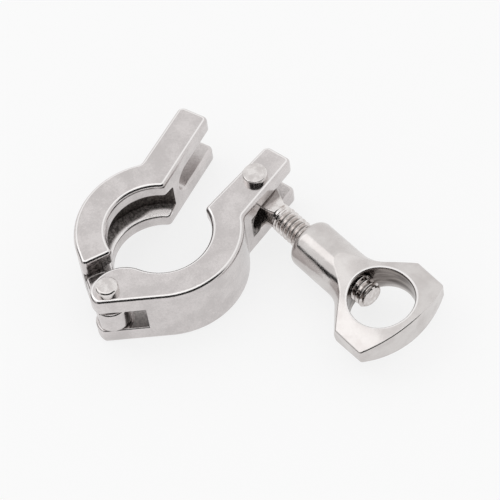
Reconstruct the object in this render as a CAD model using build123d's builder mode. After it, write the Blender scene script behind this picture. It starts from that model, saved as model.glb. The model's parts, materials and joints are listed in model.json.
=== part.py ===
"""Sanitary hinged clamp for small tube ferrules, standing open as on a bench.

Two cast half rings turn on a riveted pin.  A swing bolt hangs in the ears of one
jaw and drops into the open fork of the other, where a wing nut draws them shut.
The origin is on the ring's axis, in the middle of the groove.  +X points to the bolt
side, +Y to the ears, +Z up.  Sizes are in millimetres, angles in degrees.
"""
from build123d import *
from math import asin, cos, degrees, radians, sin, sqrt, tan
import os

os.makedirs("parts", exist_ok=True)

# Half rings
body_height = 15.6
ring_radius = 18.3
lip_radius = 11.0
edge_round = 1.1

# Groove that wedges two ferrules together
groove_radius = 14.3
groove_floor_width = 6.0
groove_angle = 20.0
groove_edge_round = 0.5

# Ears, each from its root at the ring to its tip
ear_tip_y = 32.1
ear_corner_round = 1.5
nose_round = 1.3
shoulder_round = 1.6
wall_corner_round = 1.2
bolt_ear_inner_root = 3.9
bolt_ear_inner_tip = 4.6
bolt_ear_outer_root = 12.6
bolt_ear_outer_tip = 12.0
fork_ear_inner_root = 4.0
fork_ear_inner_tip = 5.2
fork_ear_outer_root = 12.2
fork_ear_outer_tip = 13.0

# Slots between the ear plates and between the hinge plates
slot_width = 6.8
slot_end_y = 16.6
slot_edge_round = 0.9
clevis_slot_depth = 8.0
clevis_edge_round = 0.5

# Hinge
hinge_reach = 19.5
hinge_wall = 3.46
clevis_end_radius = 4.2
boss_turn = 195.0
knuckle_radius = 4.0
knuckle_round = 0.7
tongue_play = 0.3
tongue_root = 2.0
jaw_end_round = 1.2
jaw_end_reach = 8.9
jaw_end_angle = 33.0
opening_angle = 6.9

# Pins
pin_radius = 2.0
pin_play = 0.05
pin_seat_play = 0.02
hinge_head_radius = 2.65
hinge_head_height = 2.0
hinge_head_round = 0.8
bolt_head_radius = 2.83
bolt_head_height = 1.8
bolt_head_round = 0.35
head_dome = 0.25
pin_tail_recess = 0.1
pin_tail_chamfer = 0.3

# Swing bolt
bolt_pin_x = 8.2
bolt_pin_y = 23.4
bolt_angle = -11.5
eye_radius = 4.3
eye_play = 0.3
thread_radius = 3.175
neck_radius = 3.0
thread_start = 8.4
bolt_length = 38.4
thread_chamfer = 0.6
flank_end = 6.7
flank_end_radius = 1.9
eye_edge_round = 0.4

# Wing nut, measured along the bolt from its pin
nut_turn = 2.3
nut_start = 16.9
barrel_radius = 5.85
barrel_front_round = 1.8
thread_play = 0.05
nut_mouth_chamfer = 0.5
wing_tip_end = 48.4
wing_end = 51.5
wing_half_span = 12.5
wing_tip_round = 0.8
wing_edge_round = 0.5
slope_start = 27.7
slope_end = 34.0
slope_end_round = 25.0
slope_end_half_height = 4.35
wing_end_half_height = 3.6
crown_fall = 1.9
finger_hole_place = 41.9
finger_hole_radius = 7.5
finger_hole_round = 0.4
flare_start = 29.9
flare_round = 7.0
flare_turn = 43.0

# Derived places
beyond = 60.0
near = 0.01
half_height = body_height / 2
half_slot = slot_width / 2
hinge = Vector(0, -hinge_reach)
crown_radius = (wing_half_span**2 + crown_fall**2) / (2 * crown_fall)
wall_angle = degrees(asin((ring_radius - hinge_wall) / hinge_reach))
wall_normal = Vector(cos(radians(wall_angle)), -sin(radians(wall_angle)))
wall_along = Vector(sin(radians(wall_angle)), cos(radians(wall_angle)))
jaw_end_normal = Vector(cos(radians(jaw_end_angle)), sin(radians(jaw_end_angle)))
upward = Vector(0, 0, 1)

slope_fall = (barrel_radius - slope_end_half_height) / (slope_end - slope_start)

# Each jaw is drawn about its own ring axis; the fork jaw's drawing is turned open about the hinge
bolt_frame = Plane.XY
fork_centre = hinge - hinge.rotate(Axis.Z, opening_angle)
fork_frame = Plane(fork_centre, x_dir=Vector(1, 0).rotate(Axis.Z, opening_angle), z_dir=upward)
bolt_axis = Vector(1, 0).rotate(Axis.Z, bolt_angle)
bolt_centre = Vector(bolt_pin_x, bolt_pin_y)
bolt_plane = Plane(bolt_centre, x_dir=bolt_axis, z_dir=upward)
wing_normal = upward.rotate(Axis((0, 0, 0), bolt_axis), nut_turn)
wing_plane = Plane(bolt_centre, x_dir=bolt_axis, z_dir=wing_normal)


def sided(side, point):
    """A point of the bolt-side drawing, mirrored for the fork side."""
    return (side * point.X, point.Y)


def corner(sketch, point):
    """The corner of a sketch that lies nearest to a point of its drawing."""
    return sketch.vertices().sort_by_distance(point)[0]


def wall_end(radius):
    """Where the straight outer wall meets a circle about the hinge."""
    return hinge + wall_normal * hinge_wall - wall_along * sqrt(radius**2 - hinge_wall**2)


def jaw_outline(frame, side, ear_inside, ear_outside):
    """Plan of one jaw: ear, half ring, straight outer wall and hinge boss."""
    inner_root, inner_tip = ear_inside
    outer_root, outer_tip = ear_outside
    nose = Vector(inner_root, sqrt(lip_radius**2 - inner_root**2))
    tip_in = Vector(inner_tip, ear_tip_y)
    tip_out = Vector(outer_tip, ear_tip_y)
    shoulder = Vector(outer_root, sqrt(ring_radius**2 - outer_root**2))
    wall_start = wall_normal * ring_radius
    wall_stop = wall_end(clevis_end_radius)
    boss_start = hinge + Vector(clevis_end_radius, 0).rotate(Axis.Z, boss_turn)
    boss_inward = (hinge - boss_start).normalized()
    boss_gap = lip_radius - boss_start.dot(boss_inward)
    boss_radius = (boss_start.length**2 - lip_radius**2) / (2 * boss_gap)
    boss_root = (boss_start + boss_inward * boss_radius).normalized() * lip_radius
    boss_tangent = boss_inward.rotate(Axis.Z, 90)
    end_middle = hinge + (wall_stop + boss_start - hinge * 2).normalized() * clevis_end_radius
    with BuildSketch(frame) as outline:
        with BuildLine():
            Polyline(*(sided(side, p) for p in (nose, tip_in, tip_out, shoulder)))
            ThreePointArc(sided(side, shoulder), (side * ring_radius, 0), sided(side, wall_start))
            Line(sided(side, wall_start), sided(side, wall_stop))
            ThreePointArc(*(sided(side, p) for p in (wall_stop, end_middle, boss_start)))
            TangentArc(sided(side, boss_start), sided(side, boss_root), tangent=sided(side, boss_tangent))
            ThreePointArc(sided(side, boss_root), (side * lip_radius, 0), sided(side, nose))
        make_face()
        fillet(corner(outline, sided(side, nose)), nose_round)
        fillet([corner(outline, sided(side, p)) for p in (tip_in, tip_out)], ear_corner_round)
        fillet(corner(outline, sided(side, shoulder)), shoulder_round)
        fillet(corner(outline, sided(side, wall_stop)), wall_corner_round)
    return outline.sketch


def groove_section(frame):
    """Half section of the ferrule groove: a flat floor between two cones."""
    inner = lip_radius / 2
    floor = groove_floor_width / 2
    mouth = floor + (groove_radius - inner) * tan(radians(groove_angle))
    with BuildSketch(Plane(frame.origin, x_dir=frame.x_dir, z_dir=-frame.y_dir)) as section:
        with BuildLine():
            Polyline(
                (inner, -mouth),
                (groove_radius, -floor),
                (groove_radius, floor),
                (inner, mouth),
                close=True,
            )
        make_face()
    return section.sketch


def ear_slot(frame):
    """Section of the slot between two ear plates: open at the tip, round at its root."""
    root_y = slot_end_y + half_slot
    with BuildSketch(Plane(frame.origin, x_dir=frame.y_dir, z_dir=frame.x_dir)) as slot:
        with Locations((root_y, 0)):
            Circle(half_slot)
        with Locations((root_y + beyond / 2, 0)):
            Rectangle(beyond, slot_width)
    return slot.sketch


def rim(part):
    """Edges of the topmost and the lowest flat face."""
    flats = part.faces().filter_by(Axis.Z).sort_by(Axis.Z)
    return flats[0].edges() + flats[-1].edges()


def slot_mouth(part, frame):
    """Edges round the mouth of an ear's slot, without the lines where its round root begins."""
    root_y = slot_end_y + half_slot
    levels = part.edges().filter_by_position(Axis.Z, -half_slot - near, half_slot + near)
    places = [(frame.to_local_coords(edge.center()).Y, edge) for edge in levels]
    return [edge for y, edge in places if y > root_y + near or abs(y - slot_end_y) < near]


def groove_mouth(part):
    """Edges where the groove's two cones break out of the jaw."""
    edges = part.faces().filter_by(GeomType.CONE).edges()
    circles = edges.filter_by(GeomType.CIRCLE)
    floor_edges = [edge for edge in circles if abs(edge.radius - groove_radius) < near]
    return [edge for edge in edges if edge not in floor_edges]


def off_web(part, edges):
    """The given edges without those that bound the web at the end of the hinge slot."""
    web_edges = part.faces().filter_by(Axis(hinge, wall_along)).edges()
    return [edge for edge in edges if edge not in web_edges]


def round_edges(part, radius):
    """Circular edges of one radius, the one nearest the bolt's pin first."""
    circles = part.edges().filter_by(GeomType.CIRCLE).sort_by(Axis(bolt_centre, bolt_axis))
    return [edge for edge in circles if abs(edge.radius - radius) < near]


def across_bolt(place):
    """Plane square to the bolt at a place along it, with the wing's width as its x."""
    return Plane(bolt_centre + bolt_axis * place, x_dir=wing_plane.y_dir, z_dir=bolt_axis)


def beside_barrel(plane):
    """Section of all that lies outside the barrel's round side, out to the flare's centre."""
    reach = barrel_radius + flare_round
    with BuildSketch(plane) as section:
        with Locations((reach / 2, 0)):
            Rectangle(reach, 4 * barrel_radius)
        Circle(barrel_radius, mode=Mode.SUBTRACT)
    return section.sketch


def pin_profile(place, head_radius, head_height, head_round):
    """Half profile of a riveted pin: chamfered tail, shank and a domed head with a round rim."""
    tail = pin_tail_recess - half_height
    crown = half_height + head_height
    rim_corner = (head_radius, crown - head_dome)
    with BuildSketch(Plane(place, x_dir=(1, 0, 0), z_dir=(0, -1, 0))) as profile:
        with BuildLine():
            Polyline(
                (0, crown),
                (0, tail),
                (pin_radius - pin_tail_chamfer, tail),
                (pin_radius, tail + pin_tail_chamfer),
                (pin_radius, half_height),
                (head_radius, half_height),
                rim_corner,
            )
            RadiusArc(rim_corner, (0, crown), -(head_radius**2 + head_dome**2) / (2 * head_dome))
        make_face()
        fillet(corner(profile, rim_corner), head_round)
    return profile.sketch


# Bolt jaw: ear that carries the swing bolt, half ring, clevis at the hinge
with BuildPart() as bolt_jaw:
    bolt_ear_inside = (bolt_ear_inner_root, bolt_ear_inner_tip)
    bolt_ear_outside = (bolt_ear_outer_root, bolt_ear_outer_tip)
    bolt_plan = jaw_outline(bolt_frame, 1, bolt_ear_inside, bolt_ear_outside)
    extrude(bolt_plan, amount=half_height, both=True)
    fillet(rim(bolt_jaw), edge_round)
    clevis_web = hinge + wall_normal * hinge_wall + wall_along * clevis_slot_depth
    with BuildSketch(Plane(clevis_web, x_dir=wall_along, z_dir=upward)):
        with Locations((-beyond / 2, 0)):
            Rectangle(beyond, beyond)
    extrude(amount=half_slot, both=True, mode=Mode.SUBTRACT)
    slot_sides = bolt_jaw.faces().filter_by(Axis.Z).sort_by(Axis.Z)[1:-1]
    fillet(off_web(bolt_jaw, slot_sides.edges()), clevis_edge_round)
    revolve(groove_section(bolt_frame), axis=Axis.Z, mode=Mode.SUBTRACT)
    fillet(off_web(bolt_jaw, groove_mouth(bolt_jaw)), groove_edge_round)
    extrude(ear_slot(bolt_frame), amount=beyond, mode=Mode.SUBTRACT)
    fillet(slot_mouth(bolt_jaw, bolt_frame), slot_edge_round)
    with Locations((hinge.X, hinge.Y, half_height), (bolt_pin_x, bolt_pin_y, half_height)):
        Hole(pin_radius + pin_seat_play)

# Tongue of the fork jaw, with the knuckle that turns in the clevis
with BuildPart() as fork_tongue:
    tongue_run = wall_along * (jaw_end_reach + tongue_root)
    knuckle_corner = wall_end(knuckle_radius)
    knuckle_far = hinge - wall_along * knuckle_radius
    knuckle_inner = hinge - wall_normal * knuckle_radius
    wall_foot = hinge + wall_normal * hinge_wall
    with BuildSketch(fork_frame) as tongue:
        with BuildLine():
            ThreePointArc(sided(-1, knuckle_corner), sided(-1, knuckle_far), sided(-1, knuckle_inner))
            Polyline(
                sided(-1, knuckle_inner),
                sided(-1, knuckle_inner + tongue_run),
                sided(-1, wall_foot + tongue_run),
                sided(-1, knuckle_corner),
            )
        make_face()
        fillet(corner(tongue, sided(-1, knuckle_corner)), wall_corner_round)
    extrude(amount=half_slot - tongue_play, both=True)
    fillet(rim(fork_tongue), knuckle_round)
    revolve(groove_section(fork_frame), axis=Axis(fork_centre, upward), mode=Mode.SUBTRACT)

# Fork jaw: ear with the open fork, half ring, knuckle that turns in the clevis
with BuildPart() as fork_jaw:
    fork_ear_inside = (fork_ear_inner_root, fork_ear_inner_tip)
    fork_ear_outside = (fork_ear_outer_root, fork_ear_outer_tip)
    fork_plan = jaw_outline(fork_frame, -1, fork_ear_inside, fork_ear_outside)
    extrude(fork_plan, amount=half_height, both=True)
    jaw_end = fork_frame.from_local_coords(Vector(*sided(-1, hinge + jaw_end_normal * jaw_end_reach)))
    jaw_end_out = fork_frame.from_local_coords(Vector(*sided(-1, jaw_end_normal))) - fork_centre
    split(bisect_by=Plane(jaw_end, z_dir=jaw_end_out), keep=Keep.TOP)
    end_face = fork_jaw.faces().sort_by(Axis(jaw_end, jaw_end_out))[0]
    fillet(end_face.edges().filter_by(Axis.Z), jaw_end_round)
    fillet(rim(fork_jaw), edge_round)
    revolve(groove_section(fork_frame), axis=Axis(fork_centre, upward), mode=Mode.SUBTRACT)
    fillet(groove_mouth(fork_jaw), groove_edge_round)
    add(fork_tongue)
    extrude(ear_slot(fork_frame), amount=-beyond, mode=Mode.SUBTRACT)
    fillet(slot_mouth(fork_jaw, fork_frame), slot_edge_round)
    with Locations((hinge.X, hinge.Y, half_height)):
        Hole(pin_radius + pin_play)

# Hinge pin, riveted in the clevis plates
with BuildPart() as hinge_pin:
    hinge_pin_profile = pin_profile(hinge, hinge_head_radius, hinge_head_height, hinge_head_round)
    revolve(hinge_pin_profile, axis=Axis(hinge, upward))

# Bolt pin, riveted in the ear plates
with BuildPart() as bolt_pin:
    bolt_pin_profile = pin_profile(bolt_centre, bolt_head_radius, bolt_head_height, bolt_head_round)
    revolve(bolt_pin_profile, axis=Axis(bolt_centre, upward))

# Swing bolt: flat eye that runs out in flanks to the round neck, then the thread
with BuildPart() as swing_bolt:
    with BuildSketch(bolt_plane):
        Circle(eye_radius)
        with Locations((flank_end, 0)):
            Circle(flank_end_radius)
        make_hull()
    extrude(amount=half_slot - eye_play, both=True)
    fillet(rim(swing_bolt), eye_edge_round)
    with BuildSketch(across_bolt(0)):
        Circle(neck_radius)
    extrude(amount=thread_start)
    with BuildSketch(across_bolt(thread_start)):
        Circle(thread_radius)
    extrude(amount=bolt_length - thread_start)
    chamfer(round_edges(swing_bolt, thread_radius)[-1], thread_chamfer)
    with BuildSketch(bolt_plane):
        Circle(pin_radius + pin_play)
    extrude(amount=beyond, both=True, mode=Mode.SUBTRACT)

# All that lies outside the nut on one side, along the barrel and round its flare
with BuildPart() as flare_relief:
    relief_reach = barrel_radius + flare_round
    flare_centre = wing_plane.from_local_coords(Vector(flare_start, relief_reach))
    flare_axis = Axis(flare_centre, wing_normal)
    flare_out = wing_plane.y_dir.rotate(flare_axis, flare_turn)
    flare_foot = flare_centre - flare_out * relief_reach
    extrude(beside_barrel(across_bolt(flare_start)), amount=nut_start - 1 - flare_start)
    revolve(beside_barrel(across_bolt(flare_start)), axis=flare_axis, revolution_arc=flare_turn)
    flare_plane = Plane(flare_foot, x_dir=flare_out, z_dir=bolt_axis.rotate(flare_axis, flare_turn))
    extrude(beside_barrel(flare_plane), amount=wing_half_span)

# Crowned upper side of the nut: its slope and taper turned about an axis far below
with BuildPart() as wing_crown:
    crown_axis_height = slope_end_half_height - crown_radius
    with BuildSketch(Plane(bolt_centre, x_dir=bolt_axis, z_dir=-wing_plane.y_dir)) as crown_section:
        with BuildLine():
            Polyline(
                (nut_start - 1, crown_axis_height),
                (nut_start - 1, slope_end_half_height + slope_fall * (slope_end - nut_start + 1)),
                (slope_end, slope_end_half_height),
                (wing_end + 1, wing_end_half_height),
                (wing_end + 1, crown_axis_height),
                close=True,
            )
        make_face()
        fillet(corner(crown_section, (slope_end, slope_end_half_height)), slope_end_round)
    crown_axis = Axis(bolt_centre + wing_normal * crown_axis_height, bolt_axis)
    revolve(crown_section.sketch, axis=crown_axis)

# Wing nut: threaded barrel that flattens into a crowned wing with a finger hole
with BuildPart() as wing_nut:
    add(wing_crown)
    mirror(wing_crown.part, about=wing_plane, mode=Mode.INTERSECT)
    with BuildSketch(wing_plane) as wing_plan:
        with BuildLine():
            Polyline(
                (wing_tip_end, -wing_half_span),
                (nut_start, -wing_half_span),
                (nut_start, wing_half_span),
                (wing_tip_end, wing_half_span),
            )
            ThreePointArc((wing_tip_end, wing_half_span), (wing_end, 0), (wing_tip_end, -wing_half_span))
        make_face()
        wing_tips = ((wing_tip_end, -wing_half_span), (wing_tip_end, wing_half_span))
        fillet([corner(wing_plan, tip) for tip in wing_tips], wing_tip_round)
    extrude(amount=beyond, both=True, mode=Mode.INTERSECT)
    add(flare_relief, mode=Mode.SUBTRACT)
    mirror(flare_relief.part, about=Plane(bolt_centre, z_dir=wing_plane.y_dir), mode=Mode.SUBTRACT)
    crowns = wing_nut.faces().filter_by(lambda face: abs(face.normal_at().dot(wing_normal)) > 0.9)
    crowns = crowns.filter_by(GeomType.CYLINDER, reverse=True)
    crown_rims = [edge for edge in crowns.edges() if sum(edge in face.edges() for face in crowns) == 1]
    fillet(crown_rims, wing_edge_round)
    fillet(round_edges(wing_nut, barrel_radius)[0], barrel_front_round)
    finger_hole_centre = bolt_centre + bolt_axis * finger_hole_place
    with BuildSketch(wing_plane):
        with Locations((finger_hole_place, 0)):
            Circle(finger_hole_radius)
    extrude(amount=beyond, both=True, mode=Mode.SUBTRACT)
    hole_wall = wing_nut.faces().filter_by(GeomType.CYLINDER).sort_by_distance(finger_hole_centre)[0]
    fillet(hole_wall.edges(), finger_hole_round)
    with BuildSketch(across_bolt(nut_start)):
        Circle(thread_radius + thread_play)
    extrude(amount=finger_hole_place - nut_start, mode=Mode.SUBTRACT)
    chamfer(round_edges(wing_nut, thread_radius + thread_play)[0], nut_mouth_chamfer)

bolt_jaw.part.label = "bolt_jaw"
export_step(bolt_jaw.part, "parts/bolt_jaw.step")
fork_jaw.part.label = "fork_jaw"
export_step(fork_jaw.part, "parts/fork_jaw.step")
hinge_pin.part.label = "hinge_pin"
export_step(hinge_pin.part, "parts/hinge_pin.step")
bolt_pin.part.label = "bolt_pin"
export_step(bolt_pin.part, "parts/bolt_pin.step")
swing_bolt.part.label = "swing_bolt"
export_step(swing_bolt.part, "parts/swing_bolt.step")
wing_nut.part.label = "wing_nut"
export_step(wing_nut.part, "parts/wing_nut.step")
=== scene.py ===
import json
from math import cos, pi, radians, sin, tan

import bmesh
import bpy
import numpy as np
from mathutils import Matrix, Vector


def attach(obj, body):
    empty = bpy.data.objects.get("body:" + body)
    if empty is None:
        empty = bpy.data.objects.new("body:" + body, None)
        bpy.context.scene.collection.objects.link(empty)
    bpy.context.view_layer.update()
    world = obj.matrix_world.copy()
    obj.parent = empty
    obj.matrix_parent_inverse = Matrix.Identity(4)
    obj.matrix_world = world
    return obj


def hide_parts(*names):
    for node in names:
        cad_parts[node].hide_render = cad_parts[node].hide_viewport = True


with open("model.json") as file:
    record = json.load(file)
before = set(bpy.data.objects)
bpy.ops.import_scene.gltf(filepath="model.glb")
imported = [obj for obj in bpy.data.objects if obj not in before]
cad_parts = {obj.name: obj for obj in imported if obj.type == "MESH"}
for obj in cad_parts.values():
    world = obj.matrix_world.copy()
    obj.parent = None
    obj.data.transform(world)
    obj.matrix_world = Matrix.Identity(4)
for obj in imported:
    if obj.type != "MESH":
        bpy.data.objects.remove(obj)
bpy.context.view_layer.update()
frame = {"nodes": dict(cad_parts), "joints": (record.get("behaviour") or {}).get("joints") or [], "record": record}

MM = 0.001

# Places taken from the frame, in millimetres
JOINTS = {joint["name"]: joint for joint in frame["joints"]}
MOUNTS = {mount["name"]: mount for mount in frame["record"]["mounts"]}
hinge = Vector(JOINTS["jaw_hinge"]["pos_m"]) / MM
bolt_pin = Vector(JOINTS["bolt_swing"]["pos_m"]) / MM
bolt_axis = Vector(JOINTS["nut_travel"]["axis"]).normalized()
opening_angle = -radians(JOINTS["jaw_hinge"]["range_deg"][0])
lip_radius = MOUNTS["ferrule_ring"]["dims"]["r_mm"]
middle_height = MOUNTS["groove_seat"]["pos_m"][2] / MM
ring_foot = Vector((0, 0, MOUNTS["rest_face"]["pos_m"][2] / MM))
fork_centre = hinge - Matrix.Rotation(opening_angle, 3, "Z") @ hinge

# Sizes of the castings that the finishes follow, in millimetres and degrees
groove_radius = 14.3
groove_half_floor = 3.0
groove_slope = tan(radians(20))
groove_mouth_height = groove_half_floor + (groove_radius - lip_radius) * groove_slope
ring_radius = 18.3
wall_angle = 49.56
wall_normal = (cos(radians(wall_angle)), -sin(radians(wall_angle)), 0)
slot_half_width = 3.4
slot_end_y = 16.6
jaw_half_height = 7.8
jaw_end_reach = 8.9
jaw_end_angle = 33.0
tongue_half_height = 3.15
nose_start_y = 6.5
nose_end_y = 10.5
finger_hole_place = 41.9
finger_hole_radius = 7.5

# The bolt and its thread, in millimetres along the bolt from its pin
eye_radius = 4.3
neck_radius = 3.0
neck_cut = 7.0
eye_overlap = 0.6
thread_radius = 3.175
thread_pitch = 1.27
thread_depth = 0.62 * thread_pitch
thread_start = 8.4
thread_fade = 1.6
neck_blend = 0.4
bolt_length = 38.4
bolt_end_chamfer = 0.6

# The thread's section, in shares of a pitch, and its mesh
crest_share = 0.07
root_share = 0.40
root_round_start = 0.75
root_rounding = 0.08
profile_steps = (0.0, 0.07, 0.1, 0.17, 0.25, 0.33, 0.38, 0.44,
                 0.5, 0.56, 0.62, 0.67, 0.75, 0.83, 0.9, 0.93)
thread_columns = 96
spare_turns = 3
lead_in_turns = 1.5
weld_distance = 0.001
fine_weld_distance = 0.0005
crease_angle = 32

# Studio, in metres, degrees and watts
floor_size = 3.0
paper_glow = 0.8
paper_glow_mirrored = 0.68
card_distance = 1.1
cards = {
    "camera_card": ((-25, 115), (20, 66)),
    "low_card": ((-75, -28), (3, 22)),
}
tent_rise = (62, 85)
tent_strength = (0.94, 1.15)
softbox_place = (288, 54)
softbox_distance = 1.0
softbox_size = (0.42, 0.72)
softbox_watts = 0.46

# Camera: the photograph's view, in degrees and millimetres
camera_azimuth = 45.187
camera_elevation = 54.428
camera_roll = -9.149
camera_distance = 570.964
camera_aside = 18.075
camera_up = 4.555
camera_lens = 180.0
sensor_width = 36.0
camera_reach = (0.05, 20.0)


def linear(hex_colour):
    """An sRGB hex colour as linear red, green, blue and alpha."""
    parts = np.array([int(hex_colour[i:i + 2], 16) for i in (0, 2, 4)]) / 255
    curve = np.where(parts <= 0.04045, parts / 12.92, ((parts + 0.055) / 1.055) ** 2.4)
    return (*curve, 1.0)


def add_node(tree, kind, settings=(), links=()):
    """Adds a node, sets its attributes or its input sockets, and links sockets into it."""
    node = tree.nodes.new(kind)
    for key, value in dict(settings).items():
        if isinstance(key, str) and hasattr(node, key):
            setattr(node, key, value)
        else:
            node.inputs[key].default_value = value
    for key, source in dict(links).items():
        tree.links.new(source, node.inputs[key])
    return node


def calculate(tree, operation, *operands):
    """One step of arithmetic on sockets and numbers, as the output socket."""
    node = add_node(tree, "ShaderNodeMath", {"operation": operation})
    for place, operand in enumerate(operands):
        if isinstance(operand, (int, float)):
            node.inputs[place].default_value = operand
        else:
            tree.links.new(operand, node.inputs[place])
    return node.outputs[0]


def new_material(name, settings):
    """A material with its node tree and its shader, whose own sockets take the settings."""
    material = bpy.data.materials.new(name)
    material.use_nodes = True
    tree = material.node_tree
    shader = tree.nodes["Principled BSDF"]
    for socket, value in settings.items():
        shader.inputs[socket].default_value = value
    return material, tree, shader


def piece_place(tree):
    """The piece's own coordinates in millimetres."""
    place = add_node(tree, "ShaderNodeTexCoord")
    size = add_node(tree, "ShaderNodeVectorMath", {"operation": "SCALE", "Scale": 1 / MM},
                    {0: place.outputs["Object"]})
    return size.outputs[0]


def round_parts(tree, place):
    """A place's y and z, the place without its z, and its distance from the Z axis."""
    x, y, z = add_node(tree, "ShaderNodeSeparateXYZ", (), {0: place}).outputs
    flat = add_node(tree, "ShaderNodeCombineXYZ", (), {"X": x, "Y": y}).outputs[0]
    reach = add_node(tree, "ShaderNodeVectorMath", {"operation": "LENGTH"}, {0: flat})
    return y, z, flat, reach.outputs["Value"]


def noise(tree, place, grain, detail=3.0, roughness=0.55):
    """Noise whose lumps are about one grain wide, in millimetres, from 0 to 1."""
    node = add_node(tree, "ShaderNodeTexNoise",
                    {"Scale": 1 / grain, "Detail": detail, "Roughness": roughness}, {"Vector": place})
    return node.outputs["Fac"]


def spread(tree, value, low, high, to_low=0.0, to_high=1.0):
    """A value carried smoothly from one range to another."""
    node = add_node(tree, "ShaderNodeMapRange",
                    {"interpolation_type": "SMOOTHSTEP", "From Min": low, "From Max": high,
                     "To Min": to_low, "To Max": to_high}, {"Value": value})
    return node.outputs["Result"]


def blend_colours(tree, factor, first, second):
    """Two colours, or colour sockets, mixed by a factor."""
    node = add_node(tree, "ShaderNodeMix", {"data_type": "RGBA"}, {"Factor": factor})
    for socket, colour in ((node.inputs[6], first), (node.inputs[7], second)):
        if isinstance(colour, tuple):
            socket.default_value = colour
        else:
            tree.links.new(colour, socket)
    return node.outputs[2]


def mottled(tree, value, first, second, low=0.35, high=0.65):
    """Two hex colours mixed in soft patches, where a noise runs from low to high."""
    return blend_colours(tree, spread(tree, value, low, high), linear(first), linear(second))


def bumped(tree, height, distance, under=None):
    """A surface normal raised by a height map, distance in millimetres."""
    links = {"Height": height}
    if under is not None:
        links["Normal"] = under
    node = add_node(tree, "ShaderNodeBump", {"Distance": distance * MM, "Strength": 1.0}, links)
    return node.outputs["Normal"]


def both(tree, *factors):
    """Where all of several masks hold."""
    product = factors[0]
    for factor in factors[1:]:
        product = calculate(tree, "MULTIPLY", product, factor)
    return product


def either(tree, *factors):
    """Where any of several masks holds."""
    largest = factors[0]
    for factor in factors[1:]:
        largest = calculate(tree, "MAXIMUM", largest, factor)
    return largest


def turned_place(tree, place, centre, angle):
    """The piece's coordinates seen from a jaw's own frame, with its axis at the origin."""
    shift = add_node(tree, "ShaderNodeVectorMath",
                     {"operation": "SUBTRACT", 1: (centre.x, centre.y, middle_height)}, {0: place})
    turn = add_node(tree, "ShaderNodeVectorRotate", {"rotation_type": "Z_AXIS", "Angle": -angle},
                    {"Vector": shift.outputs[0]})
    return turn.outputs[0]


def groove_parts(tree, radius):
    """Masks for the groove's ring as far as its floor, and for the floor itself."""
    in_ring = calculate(tree, "LESS_THAN", radius, groove_radius + 0.1)
    on_floor = spread(tree, radius, groove_radius - 0.3, groove_radius - 0.1)
    return in_ring, on_floor


def groove_sand_and_shade(tree, radius, nose_shifted_radius, off_middle):
    """How much painted shade, over a sandy texture, the groove takes: all of it on the floor, less towards the
    cones' mouth.
    """
    cone = calculate(tree, "ADD", off_middle, calculate(tree, "MULTIPLY", radius, groove_slope))
    cone_edge = groove_half_floor + groove_radius * groove_slope
    in_cone = spread(tree, cone, cone_edge + 0.02, cone_edge + 0.14, 1.0, 0.0)
    in_ring, on_floor = groove_parts(tree, radius)
    on_cone = spread(tree, nose_shifted_radius, lip_radius + 0.55, lip_radius + 1.4, 0.0, 0.9)
    return both(tree, in_cone, in_ring, either(tree, on_floor, on_cone))


def mouth_highlight(tree, radius, nose_shifted_radius, off_middle):
    """A painted highlight on the rim where the groove's cones turn into the lips."""
    inside = spread(tree, nose_shifted_radius, lip_radius + 0.5, lip_radius + 0.9, 1.0, 0.0)
    outside = spread(tree, radius, lip_radius + 0.05, lip_radius + 0.2)
    between_lips = spread(tree, off_middle, groove_mouth_height + 0.1, groove_mouth_height + 0.4, 1.0, 0.0)
    return both(tree, inside, outside, between_lips)


def edge_highlight(tree, off_middle):
    """A painted highlight line where a flat turns into its rounded edge."""
    return both(tree, spread(tree, off_middle, jaw_half_height - 0.17, jaw_half_height - 0.14),
                spread(tree, off_middle, jaw_half_height - 0.03, jaw_half_height - 0.015, 1.0, 0.0))


def slot_sand_and_shade(tree, own, y, between, start_y, amount):
    """Painted shade, over a sandy texture, between the ear's plates, from a ragged line onwards and fainter
    towards the tip.
    """
    ragged = calculate(tree, "ADD", y, calculate(tree, "MULTIPLY", noise(tree, own, 1.4), 1.6))
    return both(tree, between, spread(tree, ragged, start_y + 0.5, start_y + 1.3, 0.0, amount),
                spread(tree, y, slot_end_y + 4.5, slot_end_y + 8.0, 1.0, 0.6))


def pocket_sand_and_shade(tree, flat, between, reach):
    """Painted shade, over a sandy texture, in the hinge's pocket, between two distances from the hinge and behind
    the outer wall.
    """
    from_hinge = add_node(tree, "ShaderNodeVectorMath", {"operation": "DISTANCE", 1: (0, hinge.y, 0)},
                          {0: flat}).outputs["Value"]
    inward = add_node(tree, "ShaderNodeVectorMath", {"operation": "DOT_PRODUCT", 1: wall_normal},
                      {0: flat}).outputs["Value"]
    return both(tree, between, spread(tree, from_hinge, reach[0], reach[0] + 0.3),
                spread(tree, from_hinge, reach[1], reach[1] + 0.3, 1.0, 0.0),
                spread(tree, inward, ring_radius - 0.7, ring_radius - 0.4, 1.0, 0.0))


def end_face_sand_and_shade(tree, flat, off_middle):
    """Painted shade, over a sandy texture, on the end face that the tongue grows out of."""
    turned = radians(jaw_end_angle)
    along = add_node(tree, "ShaderNodeVectorMath",
                     {"operation": "DOT_PRODUCT", 1: (-cos(turned), sin(turned), 0)}, {0: flat})
    face_place = jaw_end_reach + hinge.y * sin(turned)
    at_face = spread(tree, along.outputs["Value"], face_place + 0.03, face_place + 0.12, 1.0, 0.0)
    off_tongue = calculate(tree, "GREATER_THAN", off_middle, tongue_half_height)
    below_edge = spread(tree, off_middle, jaw_half_height - 1.5, jaw_half_height - 1.0, 1.0, 0.0)
    return both(tree, at_face, off_tongue, below_edge)


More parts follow.
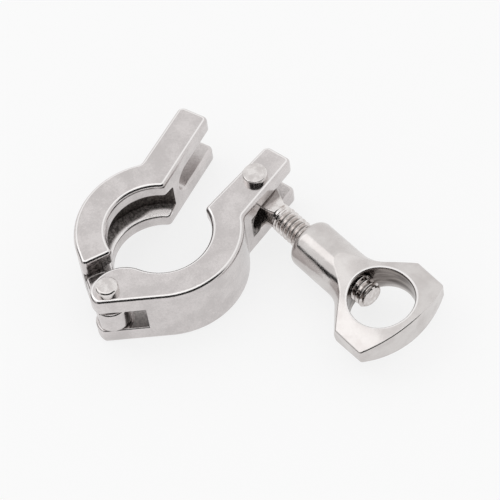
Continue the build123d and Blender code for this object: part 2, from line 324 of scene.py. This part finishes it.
def cast_stainless(name, centre, angle, slot_start_y, slot_amount, pocket_reach, end_face):
    """Investment cast 304 steel, tumbled: a satin finish with soft polish clouds on its open faces.

    The groove, the slot, the hinge pocket and, where asked, the end face are painted dark as shade over a sandy
    texture, and painted highlight lines run along the rounded edges and the groove's mouth.
    """
    material, tree, shader = new_material(name, {"Metallic": 1.0})
    own = turned_place(tree, piece_place(tree), centre, angle)
    y, z, flat, radius = round_parts(tree, own)
    off_middle = calculate(tree, "ABSOLUTE", z)
    clouds = noise(tree, own, 5.0, detail=4.0)
    grain = noise(tree, own, 0.45, detail=4.0, roughness=0.7)
    sand = noise(tree, own, 0.55, detail=5.0, roughness=0.75)

    between = spread(tree, off_middle, slot_half_width - 0.02, slot_half_width + 0.02, 1.0, 0.0)
    nose = spread(tree, y, nose_start_y, nose_end_y)
    nose_shifted_radius = calculate(tree, "SUBTRACT", radius, nose)
    # Painted shade over a rougher, sandy texture in the groove, the slot, the hinge pocket and the end face
    sand_and_shade = either(tree, groove_sand_and_shade(tree, radius, nose_shifted_radius, off_middle),
                  slot_sand_and_shade(tree, own, y, between, slot_start_y, slot_amount),
                  pocket_sand_and_shade(tree, flat, between, pocket_reach))
    if end_face:
        sand_and_shade = either(tree, sand_and_shade, end_face_sand_and_shade(tree, flat, off_middle))

    mottle = calculate(tree, "ADD", calculate(tree, "MULTIPLY", clouds, 0.6),
                       calculate(tree, "MULTIPLY", grain, 0.4))
    satin = mottled(tree, mottle, "C9C4C3", "DAD5D4", 0.38, 0.62)
    # Painted highlight lines in near-white, at the groove's mouth and along the rounded edges
    painted_highlights = either(tree, mouth_highlight(tree, radius, nose_shifted_radius, off_middle),
                    edge_highlight(tree, off_middle))
    satin = blend_colours(tree, painted_highlights, satin, linear("F1EEED"))
    # Painted shade colours: darkest on the groove's floor, lighter in the other recesses
    deep_shaded_sand = mottled(tree, sand, "45403E", "7A736F", 0.4, 0.62)
    lighter_shaded_sand = mottled(tree, sand, "4A4543", "A59F9C", 0.4, 0.62)
    shaded_sand = blend_colours(tree, both(tree, *groove_parts(tree, radius)), lighter_shaded_sand, deep_shaded_sand)
    tree.links.new(blend_colours(tree, sand_and_shade, satin, shaded_sand), shader.inputs["Base Color"])
    satin_rough = spread(tree, clouds, 0.3, 0.7, 0.15, 0.23)
    rough = calculate(tree, "ADD", calculate(tree, "MULTIPLY", sand_and_shade, 0.25), satin_rough)
    tree.links.new(rough, shader.inputs["Roughness"])
    soft = bumped(tree, grain, 0.004)
    tree.links.new(bumped(tree, both(tree, sand, sand_and_shade), 0.14, soft), shader.inputs["Normal"])
    return material


def turned_stainless(name):
    """Turned and polished 304 steel rod, bright, with faint dents from the rivet's hammer."""
    material, tree, shader = new_material(name, {"Metallic": 1.0})
    place = piece_place(tree)
    clouds = noise(tree, place, 1.6)
    tree.links.new(mottled(tree, clouds, "D2CDCB", "E8E4E2"), shader.inputs["Base Color"])
    tree.links.new(spread(tree, clouds, 0.3, 0.7, 0.12, 0.2), shader.inputs["Roughness"])
    tree.links.new(bumped(tree, noise(tree, place, 0.5), 0.008), shader.inputs["Normal"])
    return material


def threaded_stainless(name):
    """Rolled and machined 304 steel: bright crests, with painted shade in the roots and on the eye."""
    material, tree, shader = new_material(name, {"Metallic": 1.0})
    place = piece_place(tree)
    clouds = noise(tree, place, 1.2)
    from_pin = add_node(tree, "ShaderNodeVectorMath", {"operation": "SUBTRACT", 1: bolt_pin},
                        {0: place}).outputs[0]
    off_axis = add_node(tree, "ShaderNodeVectorMath", {"operation": "CROSS_PRODUCT", 1: bolt_axis},
                        {0: from_pin}).outputs[0]
    radius = add_node(tree, "ShaderNodeVectorMath", {"operation": "LENGTH"},
                      {0: off_axis}).outputs["Value"]
    along = add_node(tree, "ShaderNodeVectorMath", {"operation": "DOT_PRODUCT", 1: bolt_axis},
                     {0: from_pin}).outputs["Value"]
    in_root = both(tree, spread(tree, radius, thread_radius - 0.74, thread_radius - 0.5, 1.0, 0.0),
                   spread(tree, along, thread_start, thread_start + thread_pitch),
                   spread(tree, along, bolt_length - 0.4, bolt_length - 0.2, 1.0, 0.0))
    in_eye = spread(tree, along, eye_radius + 0.6, eye_radius + 1.3, 1.0, 0.0)
    bright = mottled(tree, clouds, "D3CDCA", "EAE6E4")
    # Painted shade in the thread's roots and on the eye next to the jaw
    painted_shade = either(tree, calculate(tree, "MULTIPLY", in_root, 0.85), calculate(tree, "MULTIPLY", in_eye, 0.5))
    tree.links.new(blend_colours(tree, painted_shade, bright, linear("5F5956")), shader.inputs["Base Color"])
    tree.links.new(spread(tree, clouds, 0.3, 0.7, 0.08, 0.16), shader.inputs["Roughness"])
    tree.links.new(bumped(tree, noise(tree, place, 0.4), 0.01), shader.inputs["Normal"])
    return material


def polished_casting(name):
    """Investment cast 304 steel, buffed after tumbling: smoother than the jaws, with faint waves.

    The finger hole keeps a darker wall with the marks of a reamer round it, inside a painted highlight on its rim.
    """
    material, tree, shader = new_material(name, {"Metallic": 1.0})
    place = piece_place(tree)
    hole_centre = bolt_pin + bolt_axis * finger_hole_place
    from_hole = add_node(tree, "ShaderNodeVectorMath", {"operation": "SUBTRACT", 1: hole_centre},
                         {0: place}).outputs[0]
    radius = round_parts(tree, from_hole)[3]
    in_hole = spread(tree, radius, finger_hole_radius + 0.02, finger_hole_radius + 0.12, 1.0, 0.0)
    drawn = add_node(tree, "ShaderNodeVectorMath", {"operation": "MULTIPLY", 1: (0.15, 0.15, 1.0)},
                     {0: from_hole}).outputs[0]
    hole_colour = mottled(tree, noise(tree, drawn, 0.9), "5F5855", "948D89")
    clouds = noise(tree, place, 4.0, detail=4.0)
    satin = mottled(tree, clouds, "CCC7C5", "D9D5D3")
    # Painted highlight in near-white round the finger hole's rim
    hole_rim_highlight = both(tree, spread(tree, radius, finger_hole_radius + 0.12, finger_hole_radius + 0.2),
                    spread(tree, radius, finger_hole_radius + 0.45, finger_hole_radius + 0.65, 1.0, 0.0))
    satin = blend_colours(tree, hole_rim_highlight, satin, linear("F1EEED"))
    tree.links.new(blend_colours(tree, in_hole, satin, hole_colour), shader.inputs["Base Color"])
    tree.links.new(spread(tree, clouds, 0.3, 0.7, 0.14, 0.22), shader.inputs["Roughness"])
    waves = bumped(tree, noise(tree, place, 2.2, detail=2.0), 0.03)
    tree.links.new(bumped(tree, noise(tree, place, 0.3), 0.004, waves), shader.inputs["Normal"])
    return material


def white_sweep(name):
    """White paper floor, lit so evenly that it keeps only a faint part of the clamp's soft shadow."""
    material, tree, shader = new_material(
        name, {"Base Color": linear("F6F6F6"), "Roughness": 0.9, "Specular IOR Level": 0.1})
    glow = add_node(tree, "ShaderNodeEmission", {"Color": linear("FBFBFB"), "Strength": 1.0})
    path = add_node(tree, "ShaderNodeLightPath")
    mirrored = either(tree, path.outputs["Is Glossy Ray"], path.outputs["Is Transmission Ray"])
    seen = either(tree, both(tree, path.outputs["Is Camera Ray"], paper_glow),
                  both(tree, mirrored, paper_glow_mirrored))
    mixed = add_node(tree, "ShaderNodeMixShader", (),
                     {0: seen, 1: shader.outputs["BSDF"], 2: glow.outputs["Emission"]})
    tree.links.new(mixed.outputs["Shader"], tree.nodes["Material Output"].inputs["Surface"])
    return material


def black_flock(name):
    """Matt black flock on the studio's cards, which the rounded edges mirror as a dark line."""
    return new_material(
        name, {"Base Color": linear("0A0A0A"), "Roughness": 1.0, "Specular IOR Level": 0.0})[0]


def grid_piece(name, points):
    """A mesh from a grid of points: rows along, columns round, with its two ends closed by fans."""
    rows, columns = points.shape[:2]
    index = np.arange(rows * columns).reshape(rows, columns)
    right = np.roll(index, -1, axis=1)
    quads = np.stack([index[:-1], right[:-1], right[1:], index[1:]], axis=-1).reshape(-1, 4)
    ends = np.stack([points[0].mean(axis=0), points[-1].mean(axis=0)])
    first, last = rows * columns, rows * columns + 1
    fan_in = np.stack([right[0], index[0], np.full(columns, first)], axis=-1)
    fan_out = np.stack([index[-1], right[-1], np.full(columns, last)], axis=-1)
    mesh = bpy.data.meshes.new(name)
    corners = np.concatenate([points.reshape(-1, 3), ends]) * MM
    mesh.from_pydata(corners.tolist(), [], quads.tolist() + fan_in.tolist() + fan_out.tolist())
    mesh.update()
    return mesh


def thread_surface():
    """The bolt's thread and end, about its own axis.

    A point stands at an angle round the bolt and at a place along it that climbs one pitch a
    turn, so each row of the grid follows the helix. Its radius is the crest's, less the depth
    of a 60 degree groove with a flat crest and a round root; the groove fades out by the neck
    and the end is chamfered at 45 degrees.
    """
    turns = int((bolt_length - thread_start) / thread_pitch) + spare_turns
    rows = (np.arange(turns)[:, None] + np.array(profile_steps)[None, :]).reshape(-1, 1)
    angle = np.linspace(0, 2 * pi, thread_columns, endpoint=False)[None, :]
    wanted = thread_start + thread_pitch * (rows + angle / (2 * pi) - lead_in_turns)
    along = np.clip(wanted, neck_cut, bolt_length)
    phase = rows % 1.0
    off_crest = np.minimum(phase, 1 - phase)
    flank = np.clip((off_crest - crest_share) / (root_share - crest_share), 0, 1)
    in_root = np.clip((flank - root_round_start) / (1 - root_round_start), 0, 1)
    groove = flank - root_rounding * in_root ** 2
    fade = np.clip((along - thread_start) / thread_fade, 0, 1)
    at_neck = np.clip((thread_start + neck_blend - along) / neck_blend, 0, 1)
    radius = thread_radius - thread_depth * groove * fade
    radius = np.minimum(radius, thread_radius - (thread_radius - neck_radius) * at_neck)
    radius = np.minimum(radius, thread_radius - bolt_end_chamfer + (bolt_length - along))
    across = Vector((0, 0, 1)).cross(bolt_axis).normalized()
    return (np.array(bolt_pin)[None, None, :]
            + along[..., None] * np.array(bolt_axis)
            + (radius * np.cos(angle))[..., None] * np.array(across)
            + (radius * np.sin(angle))[..., None] * np.array((0.0, 0.0, 1.0)))


def threaded_bolt():
    """The swing bolt with its thread: the solid's eye and neck, and the helix in place of its rod."""
    mesh = frame["nodes"]["swing_bolt"].data.copy()
    piece = bpy.data.objects.new("threaded_swing_bolt", mesh)
    bpy.context.scene.collection.objects.link(piece)
    work = bmesh.new()
    work.from_mesh(mesh)
    bmesh.ops.remove_doubles(work, verts=work.verts, dist=weld_distance * MM)
    cut = (bolt_pin + bolt_axis * (neck_cut + eye_overlap)) * MM
    bmesh.ops.bisect_plane(work, geom=work.verts[:] + work.edges[:] + work.faces[:], dist=1e-7,
                           plane_co=cut, plane_no=bolt_axis, clear_outer=True)
    bmesh.ops.holes_fill(work, edges=[edge for edge in work.edges if edge.is_boundary])
    work.from_mesh(grid_piece("thread", thread_surface()))
    bmesh.ops.remove_doubles(work, verts=work.verts, dist=fine_weld_distance * MM)
    bmesh.ops.dissolve_degenerate(work, edges=work.edges[:], dist=fine_weld_distance * MM)
    work.to_mesh(mesh)
    work.free()
    for polygon in mesh.polygons:
        polygon.use_smooth = True
    mesh.set_sharp_from_angle(angle=radians(crease_angle))
    return piece


def give(obj, material):
    """One material for a whole piece."""
    obj.data.materials.clear()
    obj.data.materials.append(material)


def direction(azimuth, elevation):
    """The unit vector towards an azimuth from -Y and an elevation, in radians, numbers or arrays."""
    return np.stack([np.sin(azimuth) * np.cos(elevation), -np.cos(azimuth) * np.cos(elevation),
                     np.sin(elevation)], axis=-1)


def stage_sheet(name, points, material):
    """A sheet of the studio from a grid of points in metres, which isn't part of the clamp."""
    rows, columns = points.shape[:2]
    index = np.arange(rows * columns).reshape(rows, columns)
    quads = np.stack([index[:-1, :-1], index[:-1, 1:], index[1:, 1:], index[1:, :-1]], axis=-1)
    mesh = bpy.data.meshes.new(name)
    mesh.from_pydata(points.reshape(-1, 3).tolist(), [], quads.reshape(-1, 4).tolist())
    sheet = bpy.data.objects.new(name, mesh)
    bpy.context.scene.collection.objects.link(sheet)
    give(sheet, material)
    return sheet


def floor_points():
    """A square of the bench, corner to corner, at the height of the clamp's lower face."""
    half = floor_size / 2
    across, along = np.meshgrid([-half, half], [-half, half])
    return np.stack([across, along, np.full_like(across, ring_foot.z * MM)], axis=-1)


def card_points(azimuths, elevations):
    """Part of a sphere about the clamp, from one azimuth and elevation to another."""
    azimuth, elevation = np.meshgrid(np.radians(np.linspace(*azimuths, 33)),
                                     np.radians(np.linspace(*elevations, 17)))
    return direction(azimuth, elevation) * card_distance


def stage_card(name, place, material):
    """A card that only mirrored rays see, so it darkens edges and casts no shadow."""
    card = stage_sheet(name, card_points(*place), material)
    card.visible_camera = False
    card.visible_diffuse = False
    card.visible_shadow = False


def place_camera():
    """A camera turned about the ring's foot by azimuth, elevation and roll, then moved aside and up."""
    azimuth, elevation, roll = (radians(a) for a in (camera_azimuth, camera_elevation, camera_roll))
    back = Vector(direction(azimuth, elevation))
    level = Vector((cos(azimuth), sin(azimuth), 0))
    upright = back.cross(level)
    right = level * cos(roll) + upright * sin(roll)
    top = upright * cos(roll) - level * sin(roll)
    camera = bpy.data.objects.new("camera", bpy.data.cameras.new("camera"))
    bpy.context.scene.collection.objects.link(camera)
    eye = (ring_foot + back * camera_distance + right * camera_aside + top * camera_up) * MM
    camera.matrix_world = Matrix.Translation(eye) @ Matrix((right, top, back)).transposed().to_4x4()
    camera.data.lens = camera_lens
    camera.data.sensor_width = sensor_width
    camera.data.clip_start, camera.data.clip_end = camera_reach
    bpy.context.scene.camera = camera


def light_tent(name):
    """A white tent round the clamp, a little brighter overhead."""
    world = bpy.data.worlds.new(name)
    world.use_nodes = True
    tree = world.node_tree
    sky = tree.nodes["Background"]
    sky.inputs["Color"].default_value = linear("FFFFFF")
    towards = add_node(tree, "ShaderNodeTexCoord").outputs["Generated"]
    up = add_node(tree, "ShaderNodeSeparateXYZ", (), {0: towards}).outputs["Z"]
    strength = spread(tree, up, sin(radians(tent_rise[0])), sin(radians(tent_rise[1])), *tent_strength)
    tree.links.new(strength, sky.inputs["Strength"])
    bpy.context.scene.world = world


def high_softbox(name):
    """A softbox high on the camera's left, which the nut's barrel and wing mirror as their white areas."""
    lamp = bpy.data.lights.new(name, "AREA")
    lamp.shape = "RECTANGLE"
    lamp.size, lamp.size_y = softbox_size
    lamp.energy = softbox_watts
    holder = bpy.data.objects.new(name, lamp)
    bpy.context.scene.collection.objects.link(holder)
    azimuth, elevation = (radians(a) for a in softbox_place)
    back = Vector(direction(azimuth, elevation))
    level = Vector((cos(azimuth), sin(azimuth), 0))
    turn = Matrix((level, back.cross(level), back)).transposed()
    holder.matrix_world = Matrix.Translation(back * softbox_distance) @ turn.to_4x4()


bolt_casting = cast_stainless(
    "cast_stainless_bolt_jaw", centre=Vector((0, 0, 0)), angle=0.0, slot_start_y=15.6, slot_amount=1.0,
    pocket_reach=(4.4, 9.8), end_face=False)
fork_casting = cast_stainless(
    "cast_stainless_fork_jaw", centre=fork_centre, angle=opening_angle, slot_start_y=20.5, slot_amount=0.6,
    pocket_reach=(8.2, 10.0), end_face=True)
turned = turned_stainless("turned_stainless_pins")
threaded = threaded_stainless("threaded_stainless_bolt")
polished = polished_casting("polished_stainless_nut")

for node_name, finish in (
    ("bolt_jaw", bolt_casting),
    ("fork_jaw", fork_casting),
    ("hinge_pin", turned),
    ("bolt_pin", turned),
    ("swing_bolt", threaded),
    ("wing_nut", polished),
):
    give(frame["nodes"][node_name], finish)

bolt_piece = threaded_bolt()
give(bolt_piece, threaded)
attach(bolt_piece, "bolt")
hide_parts("swing_bolt")

stage_sheet("floor", floor_points(), white_sweep("white_paper"))
flock = black_flock("black_flock")
for card_name, card_place in cards.items():
    stage_card(card_name, card_place, flock)

place_camera()
light_tent("light_tent")
high_softbox("high_softbox")
bpy.context.scene.view_settings.view_transform = "Standard"
